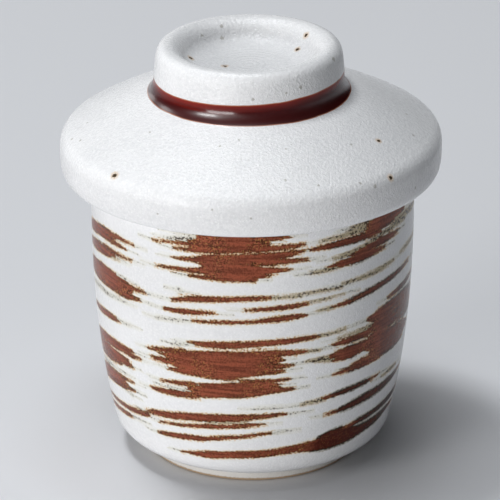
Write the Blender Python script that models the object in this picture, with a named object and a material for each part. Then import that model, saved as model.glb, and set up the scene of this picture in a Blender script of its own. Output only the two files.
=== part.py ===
"""A lidded cup for steaming savoury custard: a stoneware cup on a foot ring, and a domed lid with a ring knob.

Metres, +Z up. The origin is the middle of the foot ring, on the table.
The cup and the lid are each one clay body, turned round the Z axis. The lid rests on the cup's rim and lifts off.
"""

import math

import bmesh
import bpy
from mathutils import Vector
from mathutils.geometry import interpolate_bezier

# Cup, outside
CUP_RADIUS = 0.0370  # at the mouth
CUP_HEIGHT = 0.0690  # table to the top of the rim
CUP_WALL = 0.0040
RIM_ROUNDING = 0.0012
BELLY_HEIGHT = 0.0292  # where the flared lower wall turns into the upright upper wall
BELLY_ROUNDING_UP = 0.0282
BELLY_ROUNDING_DOWN = 0.0220
HEEL_INSET = 0.0058  # the heel's corner lies this far inside the mouth's radius
HEEL_HEIGHT = 0.0035
HEEL_ROUNDING_UP = 0.0046
HEEL_ROUNDING_IN = 0.0057

# Cup, foot ring and the hollow under its base
FOOT_INSET = 0.00645  # from the heel's corner in to the outside of the foot ring
FOOT_HEIGHT = 0.0020
FOOT_LEAN = 0.0005  # the ring's side leans in by this much on its way down
FOOT_WIDTH = 0.0036
FOOT_ROUNDING = 0.0004
FOOT_RECESS = 0.0024  # depth of the hollow inside the ring
RECESS_ROUNDING = 0.0010

# Cup, inside
FLOOR_THICKNESS = 0.0046
FLOOR_ROUNDING = 0.0090

# How the lid sits on the cup
SEAT_GAP = 0.0003  # between the rim and the lid's seat
SEAT_MARGIN = 0.0016  # the flat seat reaches this far beyond the cup's wall
FLANGE_CLEARANCE = 0.0009  # between the mouth and the lid's flange
FLANGE_DEPTH = 0.0040
FLANGE_WIDTH = 0.0030
FLANGE_ROUNDING = 0.0010

# Lid, overhanging edge
LID_OVERHANG = 0.0070  # beyond the cup's wall
EDGE_DROP = 0.0012  # the edge hangs this far below the seat
EDGE_HEIGHT = 0.0087  # from its lowest line up to the corner under the dome
EDGE_TOP_ROUNDING = 0.0026
EDGE_LOW_ROUNDING_UP = 0.0042
EDGE_LOW_ROUNDING_IN = 0.0015
EDGE_FOOT = 0.0022  # width of the edge along its lowest line
EDGE_FOOT_ROUNDING = 0.0006

# Lid, dome and the clay under it
DOME_RISE = 0.01845  # from the edge's lowest line up to the foot of the knob's collar
DOME_BREAK_OUT = 0.00805  # the dome bends this far outside the collar
DOME_BREAK_DROP = 0.00275  # and this far below the collar's foot
LID_WALL = 0.0050
CEILING_DROP = 0.00025  # the ceiling's crown lies this far below the collar's foot
CEILING_ROUNDING = 0.0060

# Lid, ring knob with a flared collar at its foot
COLLAR_RADIUS = 0.02315  # at its foot, where it is widest
COLLAR_HEIGHT = 0.00455
COLLAR_TAPER = 0.00155  # from the foot in to the neck
COLLAR_FLARE = 0.0016  # height of the corner where the flare leaves the neck
COLLAR_ROUNDING_UP = 0.0026
COLLAR_ROUNDING_DOWN = 0.0019
KNOB_HEIGHT = 0.0069  # from the collar's top to the crest of the ring
KNOB_TAPER = 0.0006
KNOB_RIM_WIDTH = 0.0048
KNOB_ROUNDING_OUT = 0.0021
KNOB_ROUNDING_DOWN = 0.0035
KNOB_ROUNDING_IN = 0.0022
WELL_SLOPE = 0.0045  # how far the well's side runs in on its way down
WELL_FLOOR = 0.0064  # clay between the well and the ceiling
WELL_ROUNDING = 0.0020

# Fineness of the turned surfaces
TURN_STEPS = 48
CURVE_ERROR = 0.00005  # how far a rounding's chords may stray from its curve
MERGE_DISTANCE = 0.000001
SHARP_ANGLE = math.radians(35)


def corner(radius, height, before=0.0, after=None):
    """A corner of a profile, and how far its rounding reaches back and on along the profile."""
    reach_on = before if after is None else after
    return Vector((radius, 0.0, height)), before, reach_on


def rounding(start, corner_place, end):
    """The points of a curve that leaves start towards the corner and arrives at end from it."""
    bend = (start - 2 * corner_place + end).length / 4
    points = 1 + math.ceil(math.sqrt(bend / CURVE_ERROR))
    first_handle = start.lerp(corner_place, 2 / 3)
    last_handle = end.lerp(corner_place, 2 / 3)
    return interpolate_bezier(start, first_handle, last_handle, end, max(points, 2))


def profile(corners):
    """The points of a profile whose two ends lie on the axis, with each corner between them rounded.

    Two roundings that would meet on a short run share it in proportion.
    """
    places = [place for place, _, _ in corners]
    back = [reach for _, reach, _ in corners]
    on = [reach for _, _, reach in corners]
    for i in range(len(corners) - 1):
        run = (places[i + 1] - places[i]).length
        wanted = on[i] + back[i + 1]
        if wanted > run:
            on[i] *= run / wanted
            back[i + 1] *= run / wanted
    points = [places[0]]
    for i in range(1, len(corners) - 1):
        start = places[i] + back[i] * (places[i - 1] - places[i]).normalized()
        end = places[i] + on[i] * (places[i + 1] - places[i]).normalized()
        if back[i] and on[i]:
            points += rounding(start, places[i], end)
        else:
            points.append(places[i])
    points.append(places[-1])
    return points


def turned(name, points, material):
    """A closed body turned round the Z axis from a profile that starts and ends on that axis."""
    shape = bmesh.new()
    rings = [shape.verts.new(point) for point in points]
    edges = [shape.edges.new(pair) for pair in zip(rings, rings[1:])]
    bmesh.ops.spin(
        shape,
        geom=rings + edges,
        cent=(0.0, 0.0, 0.0),
        axis=(0.0, 0.0, 1.0),
        dvec=(0.0, 0.0, 0.0),
        angle=math.tau,
        steps=TURN_STEPS,
        use_merge=True,
    )
    bmesh.ops.remove_doubles(shape, verts=shape.verts[:], dist=MERGE_DISTANCE)
    bmesh.ops.recalc_face_normals(shape, faces=shape.faces[:])
    mesh = bpy.data.meshes.new(name)
    shape.to_mesh(mesh)
    shape.free()
    mesh.materials.append(material)
    mesh.shade_smooth()
    mesh.set_sharp_from_angle(angle=SHARP_ANGLE)
    body = bpy.data.objects.new(name, mesh)
    bpy.context.scene.collection.objects.link(body)
    return body


def finish(name, colour, roughness):
    """A plain fired surface: a glaze, or bare clay."""
    material = bpy.data.materials.new(name)
    material.use_nodes = True
    surface = material.node_tree.nodes["Principled BSDF"]
    surface.inputs["Base Color"].default_value = (*colour, 1.0)
    surface.inputs["Roughness"].default_value = roughness
    surface.inputs["Metallic"].default_value = 0.0
    return material


def finish_band(body, least_radius, low, high, material):
    """Gives a second finish to the faces of a body's outer side that lie between two heights."""
    body.data.materials.append(material)
    slot = len(body.data.materials) - 1
    for face in body.data.polygons:
        if face.center.xy.length > least_radius and low < face.center.z < high:
            face.material_index = slot


def wall_radius(height):
    """The outside of the cup's flared lower wall, as the straight line from its heel's corner to its belly."""
    share = (height - HEEL_HEIGHT) / (BELLY_HEIGHT - HEEL_HEIGHT)
    return CUP_RADIUS - HEEL_INSET * (1 - share)


def cup_profile():
    """From the middle of the floor up the inside, over the rim, down the outside and under the foot."""
    floor = FOOT_RECESS + FLOOR_THICKNESS
    mouth = CUP_RADIUS - CUP_WALL
    foot = CUP_RADIUS - HEEL_INSET - FOOT_INSET
    recess = foot - FOOT_WIDTH
    return profile([
        corner(0.0, floor),
        corner(wall_radius(floor) - CUP_WALL, floor, FLOOR_ROUNDING),
        corner(mouth, BELLY_HEIGHT, BELLY_ROUNDING_DOWN, BELLY_ROUNDING_UP),
        corner(mouth, CUP_HEIGHT, RIM_ROUNDING),
        corner(CUP_RADIUS, CUP_HEIGHT, RIM_ROUNDING),
        corner(CUP_RADIUS, BELLY_HEIGHT, BELLY_ROUNDING_UP, BELLY_ROUNDING_DOWN),
        corner(CUP_RADIUS - HEEL_INSET, HEEL_HEIGHT, HEEL_ROUNDING_UP, HEEL_ROUNDING_IN),
        corner(foot + FOOT_LEAN, FOOT_HEIGHT),
        corner(foot, 0.0, FOOT_ROUNDING),
        corner(recess, 0.0, FOOT_ROUNDING),
        corner(recess, FOOT_RECESS, RECESS_ROUNDING),
        corner(0.0, FOOT_RECESS),
    ])


# Heights on the lid, from the plane of its seat
EDGE_LOW = -EDGE_DROP
COLLAR_FOOT = EDGE_LOW + DOME_RISE
COLLAR_TOP = COLLAR_FOOT + COLLAR_HEIGHT


def dome_height(radius):
    """The outside of the lid round its knob, as the straight line from the dome's bend up to the collar's foot."""
    return COLLAR_FOOT - DOME_BREAK_DROP * (radius - COLLAR_RADIUS) / DOME_BREAK_OUT


def lid_profile():
    """From the middle of the knob's well over the ring, down the dome and round the edge, then in under the lid."""
    ceiling = COLLAR_FOOT - CEILING_DROP
    well = ceiling + WELL_FLOOR
    crest = COLLAR_TOP + KNOB_HEIGHT
    neck = COLLAR_RADIUS - COLLAR_TAPER
    ring_outside = neck - KNOB_TAPER
    ring_inside = ring_outside - KNOB_RIM_WIDTH
    well_radius = ring_inside - WELL_SLOPE
    edge = CUP_RADIUS + LID_OVERHANG
    dome_break = COLLAR_RADIUS + DOME_BREAK_OUT
    dome_rounding = edge - COLLAR_RADIUS
    flange_outside = CUP_RADIUS - CUP_WALL - FLANGE_CLEARANCE
    flange_inside = flange_outside - FLANGE_WIDTH
    return profile([
        corner(0.0, well),
        corner(well_radius, well, WELL_ROUNDING),
        corner(ring_inside, crest, KNOB_ROUNDING_IN),
        corner(ring_outside, crest, KNOB_ROUNDING_OUT, KNOB_ROUNDING_DOWN),
        corner(neck, COLLAR_TOP),
        corner(neck, COLLAR_FOOT + COLLAR_FLARE, COLLAR_ROUNDING_UP, COLLAR_ROUNDING_DOWN),
        corner(COLLAR_RADIUS, COLLAR_FOOT),
        corner(dome_break, COLLAR_FOOT - DOME_BREAK_DROP, dome_rounding),
        corner(edge, EDGE_LOW + EDGE_HEIGHT, EDGE_TOP_ROUNDING),
        corner(edge, EDGE_LOW, EDGE_LOW_ROUNDING_UP, EDGE_LOW_ROUNDING_IN),
        corner(edge - EDGE_FOOT, EDGE_LOW, EDGE_FOOT_ROUNDING),
        corner(CUP_RADIUS + SEAT_MARGIN, 0.0),
        corner(flange_outside, 0.0),
        corner(flange_outside, -FLANGE_DEPTH, FLANGE_ROUNDING),
        corner(flange_inside, -FLANGE_DEPTH, FLANGE_ROUNDING),
        corner(flange_inside, dome_height(flange_inside) - LID_WALL, CEILING_ROUNDING),
        corner(well_radius, ceiling, CEILING_ROUNDING),
        corner(0.0, ceiling),
    ])


for old in list(bpy.data.objects):
    bpy.data.objects.remove(old)

# The cup stands on its foot ring, whose lower edge is wiped clean of glaze
cup = turned("cup", cup_profile(), finish("white_glaze_on_cup", (0.80, 0.81, 0.82), 0.35))
finish_band(cup, 0.0, -FOOT_ROUNDING, FOOT_ROUNDING, finish("bare_clay", (0.42, 0.33, 0.25), 0.85))

# The lid's own origin is the middle of its seat, on the line along which it lifts
lid = turned("lid", lid_profile(), finish("white_glaze_on_lid", (0.80, 0.81, 0.82), 0.35))
lid.location.z = CUP_HEIGHT + SEAT_GAP
collar_least = COLLAR_RADIUS - COLLAR_TAPER - KNOB_TAPER
finish_band(lid, collar_least, COLLAR_FOOT, COLLAR_TOP, finish("red_brown_glaze", (0.085, 0.014, 0.010), 0.12))
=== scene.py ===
import math

import bpy
import numpy as np
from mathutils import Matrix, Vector
from mathutils.geometry import interpolate_bezier
from mathutils.kdtree import KDTree


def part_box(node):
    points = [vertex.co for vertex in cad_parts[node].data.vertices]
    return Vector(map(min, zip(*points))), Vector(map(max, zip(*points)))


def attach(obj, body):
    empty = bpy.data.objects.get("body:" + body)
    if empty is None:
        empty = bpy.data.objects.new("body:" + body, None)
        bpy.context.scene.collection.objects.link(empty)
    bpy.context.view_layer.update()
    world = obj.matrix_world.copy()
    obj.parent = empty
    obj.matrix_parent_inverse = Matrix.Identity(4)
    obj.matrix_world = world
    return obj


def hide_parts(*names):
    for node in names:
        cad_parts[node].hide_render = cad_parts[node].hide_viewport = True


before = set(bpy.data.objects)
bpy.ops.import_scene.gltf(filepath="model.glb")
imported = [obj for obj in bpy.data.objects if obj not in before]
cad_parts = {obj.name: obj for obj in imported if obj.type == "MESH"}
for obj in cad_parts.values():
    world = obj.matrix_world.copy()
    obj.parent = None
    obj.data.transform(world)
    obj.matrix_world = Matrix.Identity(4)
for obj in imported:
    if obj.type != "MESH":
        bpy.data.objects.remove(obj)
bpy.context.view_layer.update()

# Cup
# A tall stoneware cup for steamed custard, thrown on a wheel in one piece with its low foot ring.
# Iron-brown strokes of a dry brush run round it under a thick white glaze. It stands on a ring of bare clay.
# A curve holds how far a rounding reaches back and on from its corner of the section
MM = 0.001
cup_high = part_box("cup")[1]
CUP_RADIUS = cup_high.x
CUP_HEIGHT = cup_high.z
CUP_WALL = 4.0 * MM
RIM_ROUNDING = 1.2 * MM
BELLY_HEIGHT = 29.2 * MM
BELLY_CURVE = (28.2 * MM, 21.5 * MM)
HEEL_RADIUS = CUP_RADIUS - 5.8 * MM
HEEL_HEIGHT = 3.8 * MM
HEEL_CURVE = (4.5 * MM, 5.7 * MM)
FOOT_RADIUS = HEEL_RADIUS - 6.45 * MM
FOOT_HEIGHT = 3.0 * MM
FOOT_FLARE = 0.5 * MM
FOOT_CREASE = 0.3 * MM
FOOT_ROUNDING = 0.5 * MM
FOOT_WIDTH = 3.6 * MM
FOOT_RECESS = 2.4 * MM
RECESS_ROUNDING = 1.0 * MM
FLOOR_HEIGHT = 7.0 * MM
FLOOR_RADIUS = 28.0 * MM
FLOOR_ROUNDING = 9.0 * MM
INNER_BELLY_CURVE = (13.0 * MM, 28.2 * MM)
# How far apart the points of a section lie, where it shows and where it doesn't
FINE = 0.35 * MM
COARSE = 2.0 * MM
CURVE_POINTS = 5
CURVE_FULLNESS = 2 / 3
TURN_STEPS = 320
MERGE = 0.001 * MM


def corner(radius, height, before=0.0, after=None):
    """A corner of a half section, and how far its rounding reaches back and on along the section."""
    return Vector((radius, 0.0, height)), before, before if after is None else after


def half_section(corners, spacing):
    """Points along the half section of a turned piece, about the spacing apart, with its corners rounded."""
    places = [place for place, _, _ in corners]
    points = [places[0]]
    for i in range(1, len(corners)):
        place, back, on = corners[i]
        start = place + back * (places[i - 1] - place).normalized()
        cuts = max(1, math.ceil((start - points[-1]).length / spacing))
        points += [points[-1].lerp(start, cut / cuts) for cut in range(1, cuts + 1)]
        if back and on:
            end = place + on * (places[i + 1] - place).normalized()
            count = max(CURVE_POINTS, 1 + math.ceil((back + on) / spacing))
            handles = start.lerp(place, CURVE_FULLNESS), end.lerp(place, CURVE_FULLNESS)
            points += interpolate_bezier(start, *handles, end, count)[1:]
    return points


def turn_on_wheel(name, points):
    """Extrudes one point along the half section, and turns it round the Z axis into a closed body."""
    bpy.ops.object.select_all(action="DESELECT")
    bpy.ops.mesh.primitive_plane_add(size=CUP_RADIUS)
    piece = bpy.context.object
    piece.name = name
    bpy.ops.object.mode_set(mode="EDIT")
    bpy.ops.mesh.merge(type="CENTER")
    bpy.ops.transform.translate(value=points[0])
    for start, end in zip(points, points[1:]):
        bpy.ops.mesh.extrude_region_move(TRANSFORM_OT_translate={"value": end - start})
    bpy.ops.object.mode_set(mode="OBJECT")
    bpy.ops.object.modifier_add(type="SCREW")
    wheel = piece.modifiers[-1]
    wheel.steps = TURN_STEPS
    wheel.render_steps = TURN_STEPS
    wheel.use_merge_vertices = True
    wheel.merge_threshold = MERGE
    bpy.ops.object.modifier_apply(modifier=wheel.name)
    bpy.ops.object.mode_set(mode="EDIT")
    bpy.ops.mesh.select_all(action="SELECT")
    bpy.ops.mesh.remove_doubles(threshold=MERGE)
    bpy.ops.mesh.normals_make_consistent(inside=False)
    bpy.ops.object.mode_set(mode="OBJECT")
    bpy.ops.object.shade_smooth()
    return piece


def vertex_places(piece):
    """The piece's vertices as rows of x, y and z."""
    places = np.empty(3 * len(piece.data.vertices))
    piece.data.vertices.foreach_get("co", places)
    return places.reshape(-1, 3)


def store(piece, name, values):
    """Keeps a number for each vertex of the piece, for its material."""
    piece.data.attributes.new(name, "FLOAT", "POINT").data.foreach_set("value", values.astype(np.float32))


cup_inside = half_section([
    corner(0.0, FLOOR_HEIGHT),
    corner(FLOOR_RADIUS, FLOOR_HEIGHT, FLOOR_ROUNDING),
    corner(CUP_RADIUS - CUP_WALL, BELLY_HEIGHT, *INNER_BELLY_CURVE),
    corner(CUP_RADIUS - CUP_WALL, CUP_HEIGHT, RIM_ROUNDING),
    corner(CUP_RADIUS - CUP_WALL / 2, CUP_HEIGHT),
], COARSE)
cup_outside = half_section([
    corner(CUP_RADIUS - CUP_WALL / 2, CUP_HEIGHT),
    corner(CUP_RADIUS, CUP_HEIGHT, RIM_ROUNDING),
    corner(CUP_RADIUS, BELLY_HEIGHT, *BELLY_CURVE),
    corner(HEEL_RADIUS, HEEL_HEIGHT, *HEEL_CURVE),
    corner(FOOT_RADIUS + FOOT_FLARE, FOOT_HEIGHT, FOOT_CREASE),
    corner(FOOT_RADIUS, 0.0, FOOT_ROUNDING),
    corner(FOOT_RADIUS - FOOT_WIDTH / 2, 0.0),
], FINE)
cup_underneath = half_section([
    corner(FOOT_RADIUS - FOOT_WIDTH / 2, 0.0),
    corner(FOOT_RADIUS - FOOT_WIDTH, 0.0, FOOT_ROUNDING),
    corner(FOOT_RADIUS - FOOT_WIDTH, FOOT_RECESS, RECESS_ROUNDING),
    corner(0.0, FOOT_RECESS),
], COARSE)
cup = turn_on_wheel("glazed_cup", cup_inside[:-1] + cup_outside[:-1] + cup_underneath)

# The brush strokes, listed: along each, degrees round the cup from the front, height and width in mm
FRONT_STROKES = (
    ((-22, 63.6, 1.5), (-19, 63.8, 4.4), (-8, 64.1, 4.4), (0, 64.4, 4.2), (4, 64.6, 2.6)),
    ((0, 65.6, 1.8), (8, 65.7, 1.4), (12, 65.7, 0.5)),
    ((-4, 62.9, 1.6), (8, 63.1, 1.1), (17.5, 63.4, 0.6)),
    ((-37, 62.3, 0.2), (-28, 62.8, 0.5), (-18, 63.2, 1.2)),
    ((-29, 61.5, 0.2), (-20, 61.8, 0.9), (-10, 62.2, 0.8)),
    ((-28, 59.2, 0.2), (-22, 59.5, 0.9), (-14, 60.2, 2.2), (0, 60.6, 2.4), (8, 61.2, 1.7),
     (15, 61.7, 1.0), (19, 61.9, 0.3)),
    ((0, 59.8, 1.6), (10, 59.8, 1.1), (19.5, 59.7, 0.3)),
    ((-22, 57.3, 0.5), (-16, 57.6, 3.4), (-8, 57.3, 4.4), (0, 57.4, 4.0), (4, 57.6, 2.0),
     (11.5, 57.6, 0.4)),
    ((-36, 56.2, 0.2), (-28, 56.6, 0.6), (-18, 57.0, 1.2)),
    ((-23, 55.4, 0.3), (-16, 55.6, 0.9), (0, 55.6, 1.0)),
    ((-30, 48.7, 0.3), (-26, 49.4, 0.9), (-20, 50.0, 1.2), (-10, 50.6, 1.0), (0, 51.0, 0.9),
     (7, 51.2, 0.5)),
    ((-33, 46.0, 0.3), (-28, 46.3, 0.9), (-20, 46.7, 0.9), (-13, 47.1, 0.4)),
    ((-3, 48.1, 0.3), (4, 48.4, 0.7), (12, 48.6, 1.0), (20, 49.0, 0.6)),
    ((-22, 44.5, 0.4), (-12, 44.9, 0.6), (0, 45.3, 0.6), (8, 45.8, 1.1), (15, 46.1, 1.1),
     (19, 46.2, 0.5)),
    ((-23, 38.7, 0.6), (-16, 39.0, 1.4), (-6, 39.4, 1.5), (4, 39.9, 1.3), (14, 40.2, 1.1),
     (24.5, 40.4, 0.5)),
    ((-33, 33.6, 1.5), (-29, 33.5, 4.6), (-20, 33.7, 6.4), (-10, 34.0, 7.2), (-2, 34.5, 6.6),
     (5, 35.2, 5.4), (8.5, 35.6, 3.0)),
    ((0, 37.2, 1.6), (8, 37.2, 1.6), (15, 37.0, 1.1), (19, 36.9, 0.6)),
    ((-40.5, 32.6, 0.4), (-36, 32.8, 1.1), (-28, 33.0, 1.6)),
    ((-41, 34.7, 0.3), (-36, 35.2, 0.8), (-30, 35.8, 1.0), (-24, 36.2, 1.2)),
    ((-32, 31.0, 0.4), (-26, 31.1, 1.0), (-15, 31.0, 1.2)),
    ((2, 33.8, 1.4), (9, 33.9, 1.1), (14, 33.9, 0.3)),
    ((0, 32.5, 1.4), (7, 32.6, 1.1), (11.5, 32.7, 0.3)),
    ((-25, 26.9, 1.6), (-20, 26.9, 3.4), (-12, 27.5, 3.6), (0, 28.2, 3.8), (6, 28.6, 2.9),
     (9.5, 28.8, 0.8)),
    ((-4, 30.0, 0.9), (4, 30.2, 0.9), (13.5, 30.4, 0.4)),
    ((2, 27.6, 1.4), (8, 27.7, 1.1), (14.5, 27.8, 0.4)),
    ((-36, 27.3, 0.3), (-30, 27.7, 0.7), (-22, 28.2, 1.2)),
    ((-41, 24.4, 0.4), (-36, 24.6, 0.9), (-28, 25.0, 1.3), (-20, 25.8, 2.0)),
    ((-46.5, 17.3, 0.3), (-42, 17.7, 1.0), (-36, 18.3, 1.4), (-26, 19.2, 1.8), (-14, 20.0, 1.7),
     (-2, 20.7, 1.3), (14, 21.3, 0.3)),
    ((-39, 15.8, 0.2), (-30, 16.5, 0.6), (-18, 17.5, 0.9), (-8, 18.1, 0.9), (0, 18.7, 0.8),
     (5, 18.9, 0.3)),
    ((-40, 12.6, 0.4), (-35, 13.0, 0.9), (-28, 13.5, 1.2), (-20, 13.9, 1.2), (-12, 14.8, 0.8),
     (0, 15.8, 0.6), (8, 16.4, 0.4)),
    ((-30, 9.2, 0.3), (-24, 9.5, 0.9), (-18, 9.7, 1.8), (-8, 10.3, 1.7), (2, 10.7, 1.8),
     (10, 11.1, 1.5), (24, 11.7, 2.2)),
)
# Darker at the right, where the brush was charged with more pigment, and painted darker still as shade of the
# cup's shaded right side
RIGHT_STROKES = (
    ((43, 63.9, 1.2), (45, 63.9, 3.4), (55, 64.0, 3.4), (62, 63.8, 2.4), (67, 63.5, 0.8)),
    ((20, 61.8, 0.4), (26, 62.0, 1.1), (34, 62.1, 1.5), (44, 62.1, 1.6), (51, 61.8, 0.8)),
    ((38, 58.8, 0.6), (42, 59.1, 1.6), (50, 59.3, 1.8), (58, 59.3, 1.3), (63, 59.2, 0.5)),
    ((28, 56.9, 0.6), (32, 57.1, 1.5), (40, 57.2, 1.9), (46, 57.4, 1.5), (54, 57.4, 0.4)),
    ((36, 58.1, 0.5), (40, 58.2, 1.2), (47, 58.3, 0.8)),
    ((28, 46.9, 0.4), (36, 47.3, 0.9), (44, 48.0, 1.2), (52, 48.5, 1.1), (64, 48.9, 0.9),
     (74, 49.2, 0.5)),
    ((56, 44.0, 0.4), (64, 44.3, 1.1), (74, 44.5, 1.0), (82, 44.6, 0.5)),
    ((46, 40.6, 0.8), (50, 39.6, 5.6), (58, 39.6, 6.6), (70, 39.6, 6.4), (80, 39.8, 4.0),
     (86, 40.0, 1.0)),
    ((47, 33.0, 1.5), (50, 33.2, 6.4), (56, 32.8, 6.4), (66, 32.6, 5.8), (73, 32.4, 4.6),
     (78, 32.4, 1.5)),
    ((46, 36.2, 0.5), (50, 36.2, 2.0), (56, 36.1, 1.2), (60, 35.9, 0.2)),
    ((44.5, 41.1, 0.4), (50, 41.3, 1.4)),
    ((29.5, 37.3, 0.4), (34, 37.4, 1.2), (44, 37.6, 1.4), (50, 37.8, 1.4)),
    ((28.5, 34.3, 0.8), (31, 34.2, 2.6), (38, 34.3, 3.2), (44, 34.6, 2.4), (50, 34.8, 2.0)),
    ((37, 30.6, 0.4), (42, 30.8, 1.2), (50, 31.0, 1.6)),
    ((30.5, 29.6, 0.3), (36, 29.7, 0.9), (44, 29.8, 1.2), (54, 30.0, 1.6)),
    ((64, 36.0, 0.6), (74, 36.2, 1.6), (86, 36.4, 1.2)),
)
# Darkest low at the right: heavy pigment, painted darker still as shade of the cup's shaded lower right
HEAVY_STROKES = (
    ((25, 23.7, 0.4), (32, 24.2, 0.9), (42, 24.6, 0.8), (48, 24.8, 0.7), (55, 24.9, 0.3)),
    ((28, 19.3, 0.3), (34, 19.5, 0.6), (40, 20.0, 1.4), (48, 20.5, 1.8), (56, 20.8, 1.6),
     (66, 21.2, 1.1), (78, 21.7, 0.6)),
    ((38, 14.0, 1.0), (46, 14.6, 0.9), (60, 15.2, 0.9), (72, 15.6, 0.9), (82, 15.9, 0.4)),
    ((20, 11.3, 1.6), (26, 11.6, 3.0), (31, 12.1, 4.6), (36, 12.2, 4.8), (42, 12.0, 4.2),
     (46, 11.7, 2.8), (60, 12.3, 1.6), (74, 13.3, 0.4)),
)
# As plain as those in front
LEFT_STROKES = (
    ((-92, 54.6, 0.6), (-82, 56.0, 2.4), (-72, 57.3, 3.0), (-62, 58.2, 2.2), (-57, 58.5, 1.0)),
    ((-66, 59.0, 0.9), (-56, 59.2, 0.7), (-46, 59.2, 0.3)),
    ((-64, 57.3, 0.9), (-56, 57.3, 0.8), (-50, 57.3, 0.3)),
    ((-92, 50.6, 0.6), (-82, 52.0, 2.0), (-72, 53.1, 2.6), (-64, 53.7, 2.0), (-58, 54.2, 0.8)),
    ((-66, 54.8, 0.8), (-58, 55.0, 0.6), (-47, 55.2, 0.3)),
    ((-92, 45.2, 0.8), (-82, 46.2, 3.4), (-72, 47.2, 5.0), (-62, 47.5, 4.8), (-54, 47.5, 4.2),
     (-49, 47.4, 2.0)),
    ((-58, 48.4, 1.6), (-50, 48.3, 1.2), (-45, 48.4, 0.7), (-41, 48.6, 0.3)),
    ((-58, 45.9, 1.4), (-50, 45.8, 1.2), (-44, 46.2, 0.4)),
    ((-92, 34.6, 0.4), (-80, 36.5, 1.1), (-70, 37.3, 1.5), (-62, 37.9, 1.3), (-57, 38.2, 0.6)),
    ((-92, 27.6, 0.6), (-82, 29.4, 1.8), (-72, 30.6, 2.4), (-62, 31.1, 2.2), (-55, 31.4, 1.8),
     (-50, 32.0, 0.5)),
    ((-58, 30.9, 1.0), (-50, 30.8, 0.8), (-45, 30.9, 0.3)),
    ((-90, 26.2, 0.6), (-80, 27.2, 2.2), (-70, 28.0, 2.8), (-60, 28.2, 2.4), (-54, 28.2, 1.8),
     (-49.5, 28.0, 0.8)),
    ((-88, 24.4, 0.4), (-76, 25.4, 0.9), (-64, 26.4, 1.0), (-57, 27.0, 0.5)),
    ((-92, 17.8, 1.0), (-82, 19.6, 3.0), (-72, 21.1, 3.8), (-62, 21.7, 3.4), (-56, 21.8, 2.6),
     (-54, 21.8, 0.8)),
    ((-60, 23.1, 0.9), (-54, 23.4, 0.6), (-50, 23.6, 0.3)),
    ((-58, 21.2, 1.0), (-54, 21.3, 0.7), (-50, 21.4, 0.3)),
    ((-90, 12.8, 0.3), (-76, 14.4, 0.6), (-62, 15.2, 0.9), (-54, 15.6, 1.2), (-48, 16.0, 1.0),
     (-43.5, 16.4, 0.4)),
    ((-92, 10.6, 0.3), (-78, 12.0, 0.8), (-66, 12.8, 1.0), (-58, 13.3, 0.8), (-55, 13.5, 0.4)),
)
# Where the brush ran dry: thin, broken, olive
DRY_STROKES = (
    ((6, 51.1, 0.5), (17, 50.9, 0.4)),
    ((7, 51.3, 0.3), (33, 51.6, 0.4)),
    ((33, 52.0, 0.5), (42, 52.2, 0.8), (50, 52.3, 0.8), (60, 52.7, 0.6)),
    ((19, 49.0, 0.5), (34, 49.6, 0.3)),
    ((24, 40.4, 0.6), (35, 40.6, 0.6)),
    ((17, 36.9, 0.6), (25, 36.9, 0.5)),
    ((18, 23.3, 0.5), (27, 23.7, 0.8)),
    ((-18, 18.6, 0.6), (-2, 19.4, 0.6)),
    ((60, 62.6, 1.6), (74, 61.6, 1.4), (84, 60.6, 0.6)),
    ((23, 63.4, 0.5), (34, 63.9, 1.0), (44, 64.2, 1.6)),
    ((36, 65.0, 0.5), (44, 65.3, 1.0)),
    ((50, 61.0, 0.9), (60, 61.3, 1.2), (68, 61.0, 0.8)),
    ((29, 58.8, 0.4), (40, 59.2, 1.4), (48, 60.2, 1.4)),
    ((20, 56.2, 0.3), (30, 56.7, 1.2)),
    ((64, 53.2, 0.6), (72, 53.5, 0.9), (82, 53.6, 0.6)),
    ((23, 46.6, 0.6), (29, 47.0, 0.8)),
    ((32, 38.6, 0.5), (40, 38.8, 0.8), (50, 38.9, 1.2)),
    ((20, 34.4, 0.4), (24, 34.2, 1.0), (30, 34.0, 1.8)),
    ((57, 23.8, 0.4), (64, 23.9, 0.6), (70, 23.8, 0.4)),
    ((-62, 53.4, 0.8), (-54, 53.8, 0.4)),
)
# Hardly any pigment left
FAINT_STROKES = (
    ((-30, 63.6, 0.4), (-18, 64.6, 2.0)),
    ((-28, 65.2, 0.3), (-18, 65.6, 1.2)),
    ((-36, 43.3, 0.4), (-22, 44.4, 0.5)),
    ((-29, 37.7, 0.5), (-22, 38.4, 0.6)),
    ((-33, 26.0, 0.5), (-24, 26.3, 1.0)),
    ((1, 23.0, 0.4), (11, 23.1, 0.4)),
    ((13, 21.2, 0.5), (17, 21.2, 0.4)),
    ((6, 16.3, 0.4), (13, 16.6, 0.3)),
    ((-56, 49.6, 0.9), (-50, 49.8, 0.8)),
    ((-88, 41.2, 0.6), (-76, 42.6, 0.9), (-62, 43.5, 0.7), (-51, 44.1, 0.4)),
    ((-58, 38.2, 0.6), (-50, 38.8, 0.4)),
    ((-82, 23.0, 0.5), (-70, 24.0, 0.6), (-56, 24.8, 0.4)),
    ((-56, 13.5, 0.5), (-50, 13.9, 0.3)),
    ((-26.6, 51.4, 0.9), (-26.0, 51.3, 0.9)),
    ((-53.8, 19.8, 0.8), (-53.4, 19.9, 0.8)),
)
# How dry the brush is, from -1 where it is fully charged to 1 where it is all but empty
FULL_BRUSH = -1.0
# The heavy and charged values below also carry painted shade of the cup's shaded right side
HEAVY_AND_SHADED_BRUSH = -0.75
CHARGED_AND_SHADED_BRUSH = -0.4
PLAIN_BRUSH = 0.0
ENDING_BRUSH = 0.6
DRY_BRUSH = 0.8
EMPTY_BRUSH = 1.0
# The unseen back carries the same kind of strokes, half a turn round with their heights in reverse order
BACK_TURN = 180.0
BACK_HEIGHTS = 75.0
# In degrees: how far a stroke dries towards its ends and trails off past them, and its bristles' reach
DRY_END = 8.0
TAIL = 7.0
BRISTLE_REACH = 3.0
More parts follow.
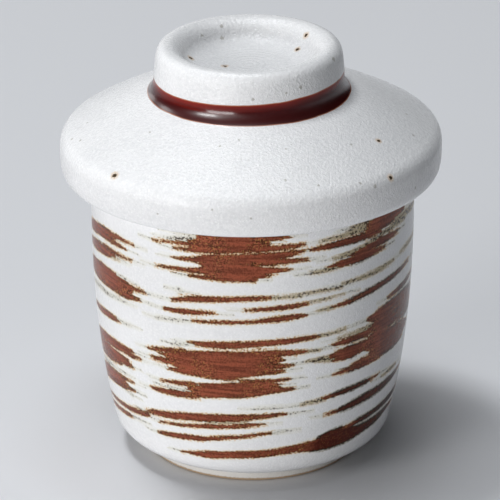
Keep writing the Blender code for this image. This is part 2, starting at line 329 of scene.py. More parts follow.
# In mm: half a tail's width, the pigment's spread, a bristle, and a stroke whose bristles reach fully
TAIL_WIDTH = 0.12
SPREAD = 0.12
BRISTLE = 0.6
FULL_WIDTH = 4.0
# The depth that stands for a place with no stroke
BARE = -5.0
SEED = 7


def on_the_back(stroke):
    """The stroke that lies opposite, keeping its slope."""
    heights = [height for _, height, _ in stroke]
    lift = BACK_HEIGHTS - min(heights) - max(heights)
    return tuple((azimuth + BACK_TURN, height + lift, width) for azimuth, height, width in stroke)


def lay_stroke(azimuth, height, stroke, dry, chance):
    """How far inside the stroke each place lies, in mm and below zero outside, and the dryness there."""
    turns, heights, widths = np.array(stroke).T
    middle = (turns[0] + turns[-1]) / 2
    turned = (azimuth - middle + 180.0) % 360.0 - 180.0 + middle
    rows = np.arange(0.0, CUP_HEIGHT / MM + BRISTLE, BRISTLE)
    reach = BRISTLE_REACH * min(1.0, widths.max() / FULL_WIDTH)
    turned = turned + np.interp(height, rows, chance.uniform(-reach, reach, len(rows)))
    across = np.abs(height - np.interp(turned, turns, heights))
    beyond = np.maximum(np.maximum(turns[0] - turned, turned - turns[-1]), 0.0)
    width = np.interp(turned, turns, widths) / 2 + SPREAD
    depth = width - np.hypot(across, beyond * math.radians(1) * CUP_RADIUS / MM)
    from_end = np.minimum(turned - turns[0], turns[-1] - turned)
    near_end = np.clip(1.0 - from_end / DRY_END, 0.0, 1.0)
    dryness = dry + (max(dry, ENDING_BRUSH) - dry) * near_end
    tail = TAIL_WIDTH * np.clip(1.0 - beyond / TAIL, 0.0, 1.0) - across
    in_tail = (beyond > 0.0) & (beyond < TAIL) & (tail > depth)
    return np.where(in_tail, tail, depth), np.where(in_tail, EMPTY_BRUSH, dryness)


places = vertex_places(cup)
radius = np.hypot(places[:, 0], places[:, 1])
azimuth = np.degrees(np.arctan2(places[:, 0], -places[:, 1]))
height = places[:, 2] / MM
strokes = [(stroke, PLAIN_BRUSH) for stroke in FRONT_STROKES + LEFT_STROKES]
strokes += [(stroke, CHARGED_AND_SHADED_BRUSH) for stroke in RIGHT_STROKES]
strokes += [(stroke, HEAVY_AND_SHADED_BRUSH) for stroke in HEAVY_STROKES]
strokes += [(stroke, DRY_BRUSH) for stroke in DRY_STROKES]
strokes += [(stroke, EMPTY_BRUSH) for stroke in FAINT_STROKES]
strokes += [(on_the_back(stroke), dry) for stroke, dry in strokes]
chance = np.random.default_rng(SEED)
brush_depth = np.full(len(places), BARE)
brush_dryness = np.zeros(len(places))
for stroke, dry in strokes:
    stroke_depth, stroke_dryness = lay_stroke(azimuth, height, stroke, dry, chance)
    brush_dryness = np.where(stroke_depth > brush_depth, stroke_dryness, brush_dryness)
    brush_depth = np.maximum(brush_depth, stroke_depth)
# The inside and the foot stay without strokes
outside = np.array([(point.x, point.z) for point in cup_outside])
middle_of_wall = np.interp(places[:, 2], outside[::-1, 1], outside[::-1, 0]) - CUP_WALL / 2
brush_depth[(radius < middle_of_wall) | (height < 2 * FOOT_HEIGHT / MM)] = BARE
store(cup, "brush_depth", brush_depth)
store(cup, "brush_dryness", brush_dryness)


def new_group(name, inputs, outputs):
    """An empty shader node group with the named sockets, and its input and output nodes."""
    group = bpy.data.node_groups.new(name, "ShaderNodeTree")
    for socket, kind in inputs.items():
        group.interface.new_socket(socket, in_out="INPUT", socket_type="NodeSocket" + kind)
    for socket, kind in outputs.items():
        group.interface.new_socket(socket, in_out="OUTPUT", socket_type="NodeSocket" + kind)
    return group, group.nodes.new("NodeGroupInput").outputs, group.nodes.new("NodeGroupOutput").inputs


def add_node(tree, kind, inputs, **settings):
    """A shader node with its settings, each input linked where given a socket and set where given a value."""
    made = tree.nodes.new(kind)
    for name, value in settings.items():
        setattr(made, name, value)
    for name, value in inputs.items():
        if isinstance(value, bpy.types.NodeSocket):
            tree.links.new(value, made.inputs[name])
        else:
            made.inputs[name].default_value = value
    return made


def add_group(tree, group, inputs):
    """The outputs of a node group placed in a material."""
    return add_node(tree, "ShaderNodeGroup", inputs, node_tree=group).outputs


def add_math(tree, operation, first, second=0.0, third=0.0):
    """The result of a Math node."""
    return add_node(tree, "ShaderNodeMath", {0: first, 1: second, 2: third}, operation=operation).outputs[0]


def add_range(tree, value, low, high, new_low=0.0, new_high=1.0):
    """A value eased from one range onto another."""
    wanted = {"Value": value, "From Min": low, "From Max": high, "To Min": new_low, "To Max": new_high}
    return add_node(tree, "ShaderNodeMapRange", wanted, interpolation_type="SMOOTHSTEP").outputs["Result"]


def add_noise(tree, at, scale, detail=2.0):
    """A cloudy value about one half, with features about 1/scale metres across."""
    wanted = {"Vector": at, "Scale": scale, "Detail": detail}
    return add_node(tree, "ShaderNodeTexNoise", wanted).outputs["Fac"]


def add_cells(tree, at, scale):
    """Cells about 1/scale metres across: how far the nearest one's middle is, and a chance value for each."""
    cells = add_node(tree, "ShaderNodeTexVoronoi", {"Vector": at, "Scale": scale}).outputs
    chances = add_node(tree, "ShaderNodeSeparateColor", {"Color": cells["Color"]}).outputs
    return cells["Distance"], chances["Red"]


def add_mix(tree, factor, first, second):
    """Two colours mixed by a factor."""
    return add_node(tree, "ShaderNodeMix", {0: factor, 6: first, 7: second}, data_type="RGBA").outputs[2]


def add_stretch(tree, at, scales):
    """Coordinates stretched by a scale along each axis."""
    return add_node(tree, "ShaderNodeMapping", {"Vector": at, "Scale": scales}).outputs["Vector"]


def add_attribute(tree, name):
    """The number that is kept for each vertex under a name."""
    return add_node(tree, "ShaderNodeAttribute", {}, attribute_name=name).outputs["Fac"]


def new_material(name):
    """A material, its node tree and its Principled shader."""
    material = bpy.data.materials.new(name)
    material.use_nodes = True
    return material, material.node_tree, material.node_tree.nodes["Principled BSDF"]


# The white glaze: thick, half opaque, with a fine pebbled skin. Scales count features in a metre
WHITE = (0.835, 0.832, 0.835, 1.0)
GREY_WHITE = (0.57, 0.575, 0.59, 1.0)
GRAIN_WHITE = (0.885, 0.885, 0.89, 1.0)
PEBBLE_SCALE = 1400.0
PIT_SCALE = 4000.0
CLOUD_SCALE = 110.0
GRAIN_SCALE = 1500.0
GLAZE_ROUGHNESS = (0.13, 0.22)
SKIN_RELIEF = 0.14 * MM
SKIN_STRENGTH = 0.9
glaze_group, glaze_in, glaze_out = new_group(
    "pebbled_white_glaze",
    {"Vector": "Vector", "Grit": "Float"},
    {"Colour": "Color", "Height": "Float", "Roughness": "Float"},
)
at = glaze_in["Vector"]
pebbles = add_noise(glaze_group, at, PEBBLE_SCALE, 1.0)
pits = add_noise(glaze_group, at, PIT_SCALE, 1.0)
clouds = add_noise(glaze_group, at, CLOUD_SCALE, 3.0)
grain_distance, grain_chance = add_cells(glaze_group, at, GRAIN_SCALE)
grain = add_range(glaze_group, grain_distance, 0.15, 0.45, 1.0, 0.0)
grain = add_math(glaze_group, "MULTIPLY", grain, add_range(glaze_group, grain_chance, 0.5, 0.9))
bumps = add_math(glaze_group, "MULTIPLY_ADD", pits, 0.7, pebbles)
bumps = add_math(glaze_group, "MULTIPLY_ADD", grain, 0.35, bumps)
grey = add_range(glaze_group, bumps, 0.60, 1.15, 0.38, 0.0)
grey = add_math(glaze_group, "MULTIPLY", grey, add_range(glaze_group, clouds, 0.3, 0.7, 0.5, 1.0))
grey = add_math(glaze_group, "MULTIPLY", grey, glaze_in["Grit"])
white = add_mix(glaze_group, grey, WHITE, GREY_WHITE)
white = add_mix(glaze_group, add_math(glaze_group, "MULTIPLY", grain, glaze_in["Grit"]), white, GRAIN_WHITE)
glaze_group.links.new(white, glaze_out["Colour"])
glaze_group.links.new(add_math(glaze_group, "MULTIPLY", bumps, glaze_in["Grit"]), glaze_out["Height"])
glaze_group.links.new(add_range(glaze_group, clouds, 0.3, 0.7, *GLAZE_ROUGHNESS), glaze_out["Roughness"])

# The cup's finish: the strokes' pigment melted into the white glaze. Depths inside a stroke are in mm
RED_BROWN = (0.300, 0.076, 0.038, 1.0)
DEEP_BROWN = (0.130, 0.032, 0.015, 1.0)
DARK_BROWN_AND_SHADE = (0.058, 0.003, 0.001, 1.0)
OCHRE = (0.52, 0.28, 0.075, 1.0)
OLIVE = (0.27, 0.21, 0.075, 1.0)
DARK_OLIVE = (0.028, 0.013, 0.003, 1.0)
GLOW = (0.66, 0.44, 0.22, 1.0)
CREAM = (0.74, 0.72, 0.60, 1.0)
THIN_GLAZE = (0.60, 0.565, 0.50, 1.0)
CLAY = (0.40, 0.29, 0.19, 1.0)
CUP_GRIT = 0.7
CUP_SHINE = 0.14
BRISTLE_SCALES = (110.0, 110.0, 1700.0)
TEETH_SCALE = 2100.0
DARK_SCALE = 2500.0
GOLD_SCALE = 2600.0
PATCH_SCALE = 95.0
DOT_SCALE = 1900.0
CHARGED_FROM = 0.45
material, tree, surface = new_material("brushed_cup_glaze")
surface.inputs["Specular IOR Level"].default_value = CUP_SHINE
at = add_node(tree, "ShaderNodeTexCoord", {}).outputs["Object"]
glaze = add_group(tree, glaze_group, {"Vector": at, "Grit": CUP_GRIT})
depth = add_attribute(tree, "brush_depth")
dryness = add_attribute(tree, "brush_dryness")
streaks = add_math(tree, "SUBTRACT", add_noise(tree, add_stretch(tree, at, BRISTLE_SCALES), 1.0), 0.5)
teeth = add_math(tree, "SUBTRACT", add_noise(tree, at, TEETH_SCALE, 1.0), 0.5)
dark_grains = add_range(tree, add_noise(tree, at, DARK_SCALE, 1.0), 0.46, 0.56)
gold_grains = add_range(tree, add_noise(tree, at, GOLD_SCALE, 1.0), 0.57, 0.65)
patches = add_noise(tree, at, PATCH_SCALE, 1.0)
ending = add_range(tree, dryness, PLAIN_BRUSH, ENDING_BRUSH)
running_out = add_range(tree, dryness, ENDING_BRUSH, EMPTY_BRUSH)
# How charged the brush is; the darkening it drives is partly painted shade of the cup's shaded right side
charged_and_shaded = add_range(tree, dryness, FULL_BRUSH, PLAIN_BRUSH, 1.0, 0.0)
plain = add_range(tree, charged_and_shaded, 0.0, CHARGED_FROM, 1.0, 0.0)
not_plain = add_range(tree, charged_and_shaded, 0.0, CHARGED_FROM)
ragged = add_math(tree, "MULTIPLY_ADD", teeth, 1.0, depth)
ragged = add_math(tree, "MULTIPLY_ADD", streaks, add_math(tree, "MULTIPLY_ADD", ending, 0.5, 0.45), ragged)

# Inside a stroke the pigment is even, and in patches and towards the ends it breaks into grains
streaked = add_math(tree, "MULTIPLY_ADD", dark_grains, 0.15, streaks)
body_colour = add_mix(tree, add_range(tree, streaked, -0.15, 0.28), RED_BROWN, DEEP_BROWN)
# Charged strokes are painted darker: heavier pigment, and painted shade of the cup's shaded right side
body_colour = add_mix(tree, charged_and_shaded, body_colour, DARK_BROWN_AND_SHADE)
grain_colour = add_mix(tree, add_math(tree, "MULTIPLY", dark_grains, 0.9), body_colour, DARK_OLIVE)
grain_colour = add_mix(tree, add_math(tree, "MULTIPLY", gold_grains, 0.7), grain_colour, OCHRE)
speckled = add_range(tree, patches, 0.52, 0.68, 0.0, 0.55)
speckled = add_math(tree, "MAXIMUM", speckled, add_math(tree, "MULTIPLY", ending, 0.85))
speckled = add_math(tree, "MAXIMUM", speckled, add_math(tree, "MULTIPLY", charged_and_shaded, 0.2))
pigment = add_mix(tree, speckled, body_colour, grain_colour)

# Along the edges it is dark, with golden grains, and ends in a line: ochre, or olive round charged strokes
edge_dark = add_math(tree, "MULTIPLY_ADD", dark_grains, 0.3, 0.45)
edge_dark = add_math(tree, "MULTIPLY_ADD", charged_and_shaded, 0.9, edge_dark)
edge_colour = add_mix(tree, edge_dark, body_colour, DARK_OLIVE)
edge_gold = add_math(tree, "MULTIPLY", plain, add_math(tree, "MULTIPLY", gold_grains, 0.45))
edge_colour = add_mix(tree, edge_gold, edge_colour, OCHRE)
fringe_end = add_math(tree, "MULTIPLY_ADD", charged_and_shaded, -0.10, 0.52)
fringe = add_range(tree, ragged, 0.12, fringe_end, 1.0, 0.0)
pigment = add_mix(tree, fringe, pigment, edge_colour)
ochre_line = add_math(tree, "MULTIPLY", plain, add_range(tree, ragged, -0.16, 0.10, 0.75, 0.0))
pigment = add_mix(tree, ochre_line, pigment, OCHRE)
olive_line = add_math(tree, "MULTIPLY", not_plain, add_range(tree, ragged, -0.5, 0.0, 0.7, 0.0))
pigment = add_mix(tree, olive_line, pigment, OLIVE)

# Where the brush runs dry only a thin olive wash is left, with a few dark dots in line
dots = add_math(tree, "MULTIPLY_ADD", streaks, 0.5, add_noise(tree, at, DOT_SCALE, 1.0))
dots = add_math(tree, "MULTIPLY_ADD", depth, 0.12, dots)
dots = add_range(tree, dots, 0.53, 0.64)
dry_colour = add_mix(tree, dots, OLIVE, DARK_OLIVE)
pigment = add_mix(tree, add_range(tree, running_out, 0.0, 0.5), pigment, dry_colour)
bare = add_math(tree, "MULTIPLY", running_out, add_math(tree, "MULTIPLY_ADD", dots, -0.6, 0.68))
covered = add_math(tree, "SUBTRACT", 1.0, bare)

# Dry and charged strokes fade over a wider edge, and the iron stains the white glaze beside every stroke
soft_low = add_math(tree, "MULTIPLY_ADD", running_out, -0.20, -0.25)
soft_low = add_math(tree, "MULTIPLY_ADD", charged_and_shaded, -0.7, soft_low)
soft_high = add_math(tree, "MULTIPLY_ADD", running_out, 0.35, 0.12)
covered = add_math(tree, "MULTIPLY", covered, add_range(tree, ragged, soft_low, soft_high))
halo = add_range(tree, add_math(tree, "MULTIPLY_ADD", streaks, 1.5, depth), -1.0, 0.0, 0.0, 0.4)
glazed = add_mix(tree, halo, glaze["Colour"], CREAM)
glow = add_math(tree, "MULTIPLY_ADD", running_out, -0.7, 0.7)
glow = add_math(tree, "MULTIPLY", glow, add_range(tree, ragged, -0.45, -0.10))
glow = add_math(tree, "MULTIPLY", glow, plain)
glazed = add_mix(tree, glow, glazed, GLOW)
colour = add_mix(tree, covered, glazed, pigment)

# The glaze is thin and warm on the foot ring, and wiped off under it and along the rim
up = add_node(tree, "ShaderNodeSeparateXYZ", {"Vector": at}).outputs["Z"]
up = add_math(tree, "MULTIPLY_ADD", teeth, 0.4 * MM, up)
thinned = add_range(tree, up, FOOT_HEIGHT - 0.1 * MM, FOOT_HEIGHT + 0.6 * MM, 0.6, 0.0)
colour = add_mix(tree, thinned, colour, THIN_GLAZE)
bare_foot = add_range(tree, up, 0.5 * MM, 0.9 * MM, 1.0, 0.0)
bare_rim = add_range(tree, up, CUP_HEIGHT - 0.5 * MM, CUP_HEIGHT - 0.25 * MM, 0.0, 0.85)
bare_clay = add_math(tree, "MAXIMUM", bare_foot, bare_rim)
tree.links.new(add_mix(tree, bare_clay, colour, CLAY), surface.inputs["Base Color"])
tree.links.new(glaze["Roughness"], surface.inputs["Roughness"])
relief = {"Height": glaze["Height"], "Distance": SKIN_RELIEF, "Strength": SKIN_STRENGTH}
tree.links.new(add_node(tree, "ShaderNodeBump", relief).outputs["Normal"], surface.inputs["Normal"])
cup.data.materials.append(material)
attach(cup, "cup")
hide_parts("cup")

# Lid
# A domed lid with an overhanging edge, thrown upside down and fired in one piece with its ring knob.
# It has the cup's white glaze with iron specks, a glossy red-brown collar round the knob's foot, and a
# flange that drops into the cup's mouth. Like many fired lids it sits a little askew.
lid_low, lid_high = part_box("lid")
LID_RADIUS = lid_high.x - 0.5 * MM
SEAT = CUP_HEIGHT + 0.3 * MM
SEAT_RADIUS = CUP_RADIUS + 1.6 * MM
SEAT_ROUNDING = 0.6 * MM
EDGE_LOW = SEAT - 1.2 * MM
EDGE_LOW_CURVE = (4.2 * MM, 1.5 * MM)
EDGE_HIGH = EDGE_LOW + 8.7 * MM
EDGE_ROUNDING = 2.6 * MM
EDGE_WIDTH = 2.2 * MM
FLANGE_RADIUS = CUP_RADIUS - CUP_WALL - 0.9 * MM
FLANGE_WIDTH = 3.0 * MM
FLANGE_CREASE = 0.4 * MM
FLANGE_ROUNDING = 1.0 * MM
COLLAR_FOOT = EDGE_LOW + 18.45 * MM
COLLAR_RADIUS = 23.15 * MM
COLLAR_FOOT_CREASE = 0.15 * MM
COLLAR_FLARE = 1.6 * MM
COLLAR_CURVE = (2.6 * MM, 1.9 * MM)
COLLAR_TOP = COLLAR_FOOT + 4.55 * MM
COLLAR_TOP_CREASE = 0.2 * MM
DOME_RADIUS = COLLAR_RADIUS + 8.05 * MM
DOME_HEIGHT = COLLAR_FOOT - 2.75 * MM
DOME_CURVE = (8.1 * MM, 10.5 * MM)
NECK_RADIUS = 21.6 * MM
CREST = lid_high.z - 0.23 * MM
CREST_OUTER = 21.0 * MM
CREST_OUTER_CURVE = (2.2 * MM, 3.5 * MM)
CREST_INNER = 16.4 * MM
CREST_INNER_CURVE = (2.4 * MM, 2.2 * MM)
WELL = COLLAR_FOOT + 6.15 * MM
WELL_RADIUS = 11.7 * MM
WELL_EDGE = WELL_RADIUS + 1.5 * MM
WELL_CURVE = (4.0 * MM, 2.8 * MM)
CEILING = COLLAR_FOOT - 0.25 * MM
CEILING_LOW = 79.5 * MM
CEILING_ROUNDING = 6.0 * MM
LID_FINE = 0.4 * MM
lid_outside = half_section([
    corner(0.0, WELL),
    corner(WELL_EDGE, WELL, *WELL_CURVE),
    corner(CREST_INNER, CREST, *CREST_INNER_CURVE),
    corner(CREST_OUTER, CREST, *CREST_OUTER_CURVE),
    corner(NECK_RADIUS, COLLAR_TOP, COLLAR_TOP_CREASE),
    corner(NECK_RADIUS, COLLAR_FOOT + COLLAR_FLARE, *COLLAR_CURVE),
    corner(COLLAR_RADIUS, COLLAR_FOOT, COLLAR_FOOT_CREASE),
    corner(DOME_RADIUS, DOME_HEIGHT, *DOME_CURVE),
    corner(LID_RADIUS, EDGE_HIGH, EDGE_ROUNDING),
    corner(LID_RADIUS, EDGE_LOW, *EDGE_LOW_CURVE),
    corner(LID_RADIUS - EDGE_WIDTH, EDGE_LOW),
], LID_FINE)
lid_inside = half_section([
    corner(LID_RADIUS - EDGE_WIDTH, EDGE_LOW),
    corner(SEAT_RADIUS, SEAT, SEAT_ROUNDING),
    corner(FLANGE_RADIUS, SEAT, FLANGE_CREASE),
    corner(FLANGE_RADIUS, lid_low.z, FLANGE_ROUNDING),
    corner(FLANGE_RADIUS - FLANGE_WIDTH, lid_low.z, FLANGE_ROUNDING),
    corner(FLANGE_RADIUS - FLANGE_WIDTH, CEILING_LOW, CEILING_ROUNDING),
    corner(WELL_RADIUS, CEILING, CEILING_ROUNDING),
    corner(0.0, CEILING),
], COARSE)
lid_section = lid_outside[:-1] + lid_inside
lid = turn_on_wheel("glazed_lid", lid_section)

# How far along the half section each place of the lid lies, from the middle of the well outwards
lengths = np.cumsum([0.0] + [(end - start).length for start, end in zip(lid_section, lid_section[1:])])
finder = KDTree(len(lid_section))
for i, point in enumerate(lid_section):
    finder.insert(point, i)
finder.balance()


def length_at(radius, height):
    """How far along the lid's half section its point nearest to a radius and height lies."""
    return lengths[finder.find((radius, 0.0, height))[1]]


places = vertex_places(lid)
radius = np.hypot(places[:, 0], places[:, 1])
along = np.array([length_at(out, up) for out, up in zip(radius, places[:, 2])])
store(lid, "section_place", along / MM)
outside_end = lengths[len(lid_outside) - 1]
foot_of_collar = length_at(COLLAR_RADIUS, COLLAR_FOOT)
top_of_collar = length_at(NECK_RADIUS, COLLAR_TOP)

# The lid sits askew with its flange straight in the cup, its knob is off the middle, and its well has ridges
SKEW_SHIFT = -0.4 * MM
SKEW_SLOPE = 0.0105
SKEW_FADE = 2.0 * MM
KNOB_SHIFT = -0.4 * MM
KNOB_FADE = 4.0 * MM
RIDGE = 0.07 * MM
RIDGE_STEP = 1.45 * MM
askew = np.clip((outside_end + SKEW_FADE - along) / SKEW_FADE, 0.0, 1.0)
ridges = np.where(along < WELL_RADIUS, RIDGE * np.sin(math.tau * radius / RIDGE_STEP), 0.0)
ridges *= np.clip(1.0 - radius / WELL_RADIUS, 0.0, 0.5) * 2
places[:, 2] += askew * SKEW_SLOPE * places[:, 0] + ridges
places[:, 0] += askew * SKEW_SHIFT
places[:, 0] += KNOB_SHIFT * np.clip((foot_of_collar + KNOB_FADE - along) / KNOB_FADE, 0.0, 1.0)
lid.data.vertices.foreach_set("co", places.ravel())
lid.data.update()

# The iron specks, listed: degrees round the lid from the front, radius, height and size in mm
BOLD_SPECKS = (
    (-46.6, 42.2, 77.6, 0.36), (54.3, 34.3, 82.0, 0.26), (45.4, 42.7, 77.4, 0.30),
    (126.0, 15.2, 96.2, 0.30), (124.0, 12.6, 93.3, 0.28), (-96.0, 13.8, 94.0, 0.30),
    (-80.0, 6.3, 92.7, 0.30), (152.0, 36.5, 81.0, 0.30), (-131.0, 41.0, 78.5, 0.26),
)
FAINT_SPECKS = (
    (39.4, 43.3, 76.5, 0.30), (42.0, 32.8, 82.9, 0.22), (-6.0, 27.3, 85.1, 0.18),
    (-14.7, 29.3, 84.4, 0.20), (-79.0, 41.8, 78.0, 0.24), (11.0, 38.5, 79.8, 0.22),
    (34.0, 42.0, 77.9, 0.26), (57.0, 43.5, 71.9, 0.26), (21.0, 40.6, 78.6, 0.20),
    (-28.5, 43.5, 72.2, 0.18), (-11.3, 43.2, 74.8, 0.18), (13.6, 30.2, 84.1, 0.16),
    (72.0, 38.0, 80.2, 0.26), (86.0, 35.0, 81.6, 0.18), (-74.0, 40.5, 78.8, 0.26),
    (-84.0, 38.0, 80.2, 0.18), (-50.0, 30.0, 84.2, 0.18), (-154.0, 16.2, 96.6, 0.30),
    (-151.0, 14.2, 94.3, 0.34), (-133.0, 15.4, 95.6, 0.24), (0.5, 21.4, 92.5, 0.26),
    (21.0, 21.3, 93.2, 0.20), (31.0, 21.2, 93.9, 0.34), (66.0, 20.2, 97.0, 0.40),
    (0.0, 43.4, 73.2, 0.16),
)
SPECK_SPREAD = 1.6
RUST = (0.62, 0.40, 0.19, 1.0)
IRON = (0.050, 0.030, 0.014, 1.0)
FAINT_IRON = (0.22, 0.19, 0.13, 1.0)
speck_group, speck_in, speck_out = new_group(
    "iron_speck",
    {"Vector": "Vector", "Place": "Vector", "Size": "Float", "Others": "Float"},
    {"Nearness": "Float"},
)
ends = {0: speck_in["Vector"], 1: speck_in["Place"]}
away = add_node(speck_group, "ShaderNodeVectorMath", ends, operation="DISTANCE").outputs["Value"]
nearness = add_math(speck_group, "DIVIDE", away, speck_in["Size"])
speck_group.links.new(add_math(speck_group, "MINIMUM", nearness, speck_in["Others"]), speck_out["Nearness"])


def add_specks(tree, at, specks, others):
    """How near each place lies to the nearest speck, in sizes of the speck."""
    for turn, out, rise, size in specks:
        angle = math.radians(turn)
        wanted = Vector((out * math.sin(angle), -out * math.cos(angle), rise)) * MM
        nearest = places[np.argmin(np.linalg.norm(places - wanted, axis=1))]
        speck = {"Vector": at, "Place": nearest, "Size": SPECK_SPREAD * size * MM, "Others": others}
        others = add_group(tree, speck_group, speck)["Nearness"]
    return others


# The collar: red-brown glaze between two wavering lines, darker where it ran down, with a pale top line
COLLAR_RED = (0.21, 0.012, 0.006, 1.0)
COLLAR_DARK = (0.052, 0.003, 0.003, 1.0)
COLLAR_LINE = (0.55, 0.20, 0.10, 1.0)
COLLAR_SLOPE = 0.036
COLLAR_WAVER = 0.35
COLLAR_ROUGHNESS = 0.30
COLLAR_GLOSS = 2.0
LID_GRIT = 1.0
LID_SHINE = 0.27
WAVER_SCALE = 160.0
RING_SCALES = (35.0, 35.0, 900.0)
material, tree, surface = new_material("collared_lid_glaze")
surface.inputs["Specular IOR Level"].default_value = LID_SHINE
surface.inputs["Coat Roughness"].default_value = COLLAR_ROUGHNESS
surface.inputs["Coat IOR"].default_value = COLLAR_GLOSS
at = add_node(tree, "ShaderNodeTexCoord", {}).outputs["Object"]
glaze = add_group(tree, glaze_group, {"Vector": at, "Grit": LID_GRIT})
wavy = add_math(tree, "SUBTRACT", add_noise(tree, at, WAVER_SCALE, 3.0), 0.5)
place = add_math(tree, "MULTIPLY_ADD", wavy, COLLAR_WAVER, add_attribute(tree, "section_place"))
across = add_node(tree, "ShaderNodeSeparateXYZ", {"Vector": at}).outputs["X"]
from_top = add_math(tree, "SUBTRACT", place, top_of_collar / MM)
from_top = add_math(tree, "MULTIPLY_ADD", across, COLLAR_SLOPE / MM, from_top)
from_foot = add_math(tree, "SUBTRACT", foot_of_collar / MM, place)
into_collar = add_math(tree, "MINIMUM", from_top, from_foot)
collared = add_range(tree, into_collar, -0.06, 0.10)
ring_streaks = add_noise(tree, add_stretch(tree, at, RING_SCALES), 1.0, 3.0)
collar_depth = add_math(tree, "MULTIPLY_ADD", ring_streaks, 2.4, add_math(tree, "SUBTRACT", from_top, 2.0))
collar_colour = add_mix(tree, add_range(tree, collar_depth, -0.8, 1.6), COLLAR_RED, COLLAR_DARK)
collar_colour = add_mix(tree, add_range(tree, into_collar, 0.05, 0.35, 0.8, 0.0), collar_colour, COLLAR_LINE)

# Specks of iron: a few bold ones with a rusty ring, more faint ones, and tiny ones all over
SPECK_SCALE = 2600.0
FAR = 100.0
TINY_SPACING = 4.5 * MM
TINY_SIZE = 0.032
uneven_noise = add_noise(tree, at, SPECK_SCALE, 1.0)
uneven = add_math(tree, "MULTIPLY_ADD", uneven_noise, 1.6, -0.8)
far = add_math(tree, "MULTIPLY_ADD", uneven_noise, 1.0, FAR)
bold = add_math(tree, "ADD", add_specks(tree, at, BOLD_SPECKS, far), uneven)
faint = add_math(tree, "ADD", add_specks(tree, at, FAINT_SPECKS, far), uneven)
tiny_distance, tiny_chance = add_cells(tree, at, 1.0 / TINY_SPACING)
tiny_reach = add_range(tree, tiny_chance, 0.35, 1.0, 0.0, TINY_SIZE)
tiny_mark = add_math(tree, "LESS_THAN", tiny_distance, tiny_reach)
white = add_mix(tree, add_math(tree, "MULTIPLY", tiny_mark, 0.45), glaze["Colour"], FAINT_IRON)

# The seat and most of the flange are wiped bare, so that the lid doesn't stick to the cup in the kiln
SEAT_BARE_FROM = CUP_RADIUS + 0.8 * MM
FLANGE_BARE_TO = lid_low.z + 2.0 * MM
seat_from = length_at(SEAT_BARE_FROM, SEAT) / MM
seat_to = length_at(FLANGE_RADIUS, FLANGE_BARE_TO) / MM
past_edge = add_range(tree, place, seat_from - 0.2, seat_from + 0.4)
before_tip = add_range(tree, place, seat_to - 1.0, seat_to, 1.0, 0.0)
white = add_mix(tree, add_math(tree, "MULTIPLY", past_edge, before_tip), white, CLAY)
white = add_mix(tree, add_range(tree, faint, 0.5, 1.2, 0.5, 0.0), white, FAINT_IRON)
white = add_mix(tree, add_range(tree, bold, 1.0, 2.6, 0.55, 0.0), white, RUST)
white = add_mix(tree, add_range(tree, bold, 0.7, 1.2, 1.0, 0.0), white, IRON)
tree.links.new(add_mix(tree, collared, white, collar_colour), surface.inputs["Base Color"])

# The collar is smooth, glossy low down where its glaze is thick, and duller on its right side
smooth = add_range(tree, collared, 0.0, 1.0, 1.0, 0.0)
thick = add_range(tree, from_top, 1.6, 3.3)
glossy = add_math(tree, "MULTIPLY", thick, add_range(tree, across, 13.0 * MM, 21.0 * MM, 1.0, 0.15))
tree.links.new(add_math(tree, "MULTIPLY", collared, glossy), surface.inputs["Coat Weight"])
tree.links.new(glaze["Roughness"], surface.inputs["Roughness"])
skin = add_math(tree, "MULTIPLY", glaze["Height"], smooth)
relief = {"Height": skin, "Distance": SKIN_RELIEF, "Strength": SKIN_STRENGTH}
tree.links.new(add_node(tree, "ShaderNodeBump", relief).outputs["Normal"], surface.inputs["Normal"])
lid.data.materials.append(material)
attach(lid, "lid")
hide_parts("lid")

# Floor
# A plain pale grey sheet of paper, laid flat under the cup and reaching well past the picture.
# It is matt, and takes the cup's shadow.
PAPER_SIZE = 40.0
PAPER_GREY = (0.725, 0.73, 0.75, 1.0)
PAPER_ROUGHNESS = 0.8
bpy.ops.object.select_all(action="DESELECT")
bpy.ops.mesh.primitive_plane_add(size=PAPER_SIZE)
floor = bpy.context.object
floor.name = "floor"
material, tree, surface = new_material("grey_paper")
surface.inputs["Base Color"].default_value = PAPER_GREY
surface.inputs["Roughness"].default_value = PAPER_ROUGHNESS
floor.data.materials.append(material)

# Lights
# The main soft box stands at the left in front, with a low fill beside it. Two smaller ones hang overhead,
# two weak ones stand behind at the left, and hardly any light comes from all round.
LAMP_AIM = Vector((0.0, 0.0, CUP_HEIGHT / 2))
WHITE_LIGHT = (1.0, 1.0, 1.0)
COOL_LIGHT = (0.92, 0.96, 1.0)
PALE_LIGHT = (0.96, 0.98, 1.0)
ROOM_COLOUR = (0.97, 0.98, 1.0, 1.0)
ROOM_STRENGTH = 0.01


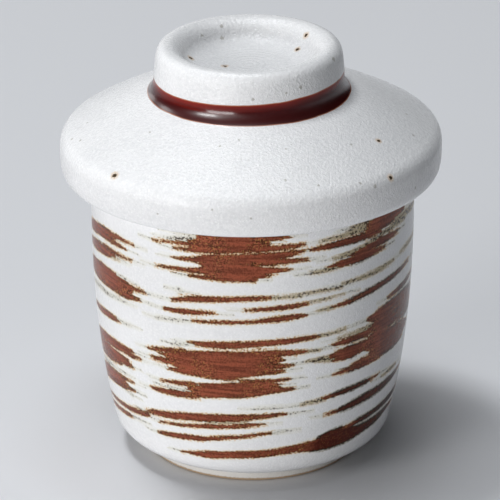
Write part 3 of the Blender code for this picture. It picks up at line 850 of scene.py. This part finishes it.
def add_softbox(name, towards, distance, size, power, colour):
    """An area lamp of a width and height, aimed at the middle of the cup from a direction and distance."""
    place = LAMP_AIM + distance * Vector(towards).normalized()
    bpy.ops.object.light_add(type="AREA", location=place)
    lamp = bpy.context.object
    lamp.name = name
    lamp.data.shape = "RECTANGLE"
    lamp.data.size, lamp.data.size_y = size
    lamp.data.energy = power
    lamp.data.color = colour
    lamp.rotation_euler = (LAMP_AIM - place).to_track_quat("-Z", "Y").to_euler()


add_softbox("window_softbox", (-0.745, -0.617, 0.30), 3.5, (1.3, 0.5), 31.0, WHITE_LIGHT)
add_softbox("front_fill", (-0.55, -0.83, 0.07), 1.6, (0.9, 0.24), 11.5, WHITE_LIGHT)
add_softbox("overhead_softbox", (-0.04, -0.02, 1.0), 1.6, (0.75, 0.75), 9.9, COOL_LIGHT)
add_softbox("overhead_left_softbox", (-0.29, 0.106, 0.951), 1.6, (0.3, 0.3), 10.0, PALE_LIGHT)
add_softbox("back_left_fill", (-0.85, 0.40, 0.45), 3.5, (0.9, 0.9), 6.5, WHITE_LIGHT)
add_softbox("back_fill", (-0.36, 0.92, 0.16), 1.6, (1.4, 0.4), 2.2, WHITE_LIGHT)
world = bpy.data.worlds.new("studio")
bpy.context.scene.world = world
world.use_nodes = True
world.node_tree.nodes["Background"].inputs["Color"].default_value = ROOM_COLOUR
world.node_tree.nodes["Background"].inputs["Strength"].default_value = ROOM_STRENGTH

# Camera
# A long lens looking down on the cup from the front, at the photograph's angle and distance.
# Its focal length is counted in pixels of the picture.
FRAME_PIXELS = 500.0
FOCAL_PIXELS = 4060.0
SENSOR_WIDTH = 36.0
DISTANCE = 935.95 * MM
ELEVATION = math.radians(23.22)
TARGET = Vector((-0.62 * MM, 0.0, 46.97 * MM))
bpy.ops.object.camera_add()
camera = bpy.context.object
camera.data.sensor_width = SENSOR_WIDTH
camera.data.lens = SENSOR_WIDTH * FOCAL_PIXELS / FRAME_PIXELS
camera.location = TARGET + DISTANCE * Vector((0.0, -math.cos(ELEVATION), math.sin(ELEVATION)))
camera.rotation_euler = (math.pi / 2 - ELEVATION, 0.0, 0.0)
bpy.context.scene.camera = camera
bpy.context.scene.view_settings.view_transform = "Standard"
